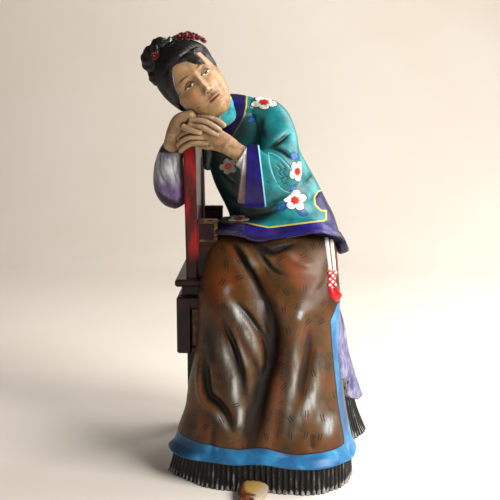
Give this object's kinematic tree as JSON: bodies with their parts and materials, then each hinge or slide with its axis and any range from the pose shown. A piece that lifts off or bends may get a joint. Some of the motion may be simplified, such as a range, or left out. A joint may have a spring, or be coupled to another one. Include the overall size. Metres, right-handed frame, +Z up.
{
  "type": "chinese figurine",
  "caption": "Painted cast figurine of a lady in a long robe who sits sideways on a carved armchair and rests her head on the chair back",
  "frame": {"origin": "on the flat underside of the skirt's pleated hem, in the plane the figurine stands on", "axes": "+Z up, -Y towards the viewer that the lady faces, +X to that viewer's right; the chair's back stands at -X"},
  "size_m": [0.1578, 0.1557, 0.2912],
  "materials": {
    "painted_resin": "hand painted cast resin with a satin varnish",
    "red_lacquer": "painted cast resin, glossy dark red lacquer"
  },
  "bodies": {
    "root": {"lady": "painted_resin", "chair": "red_lacquer"}
  },
  "joints": []
}
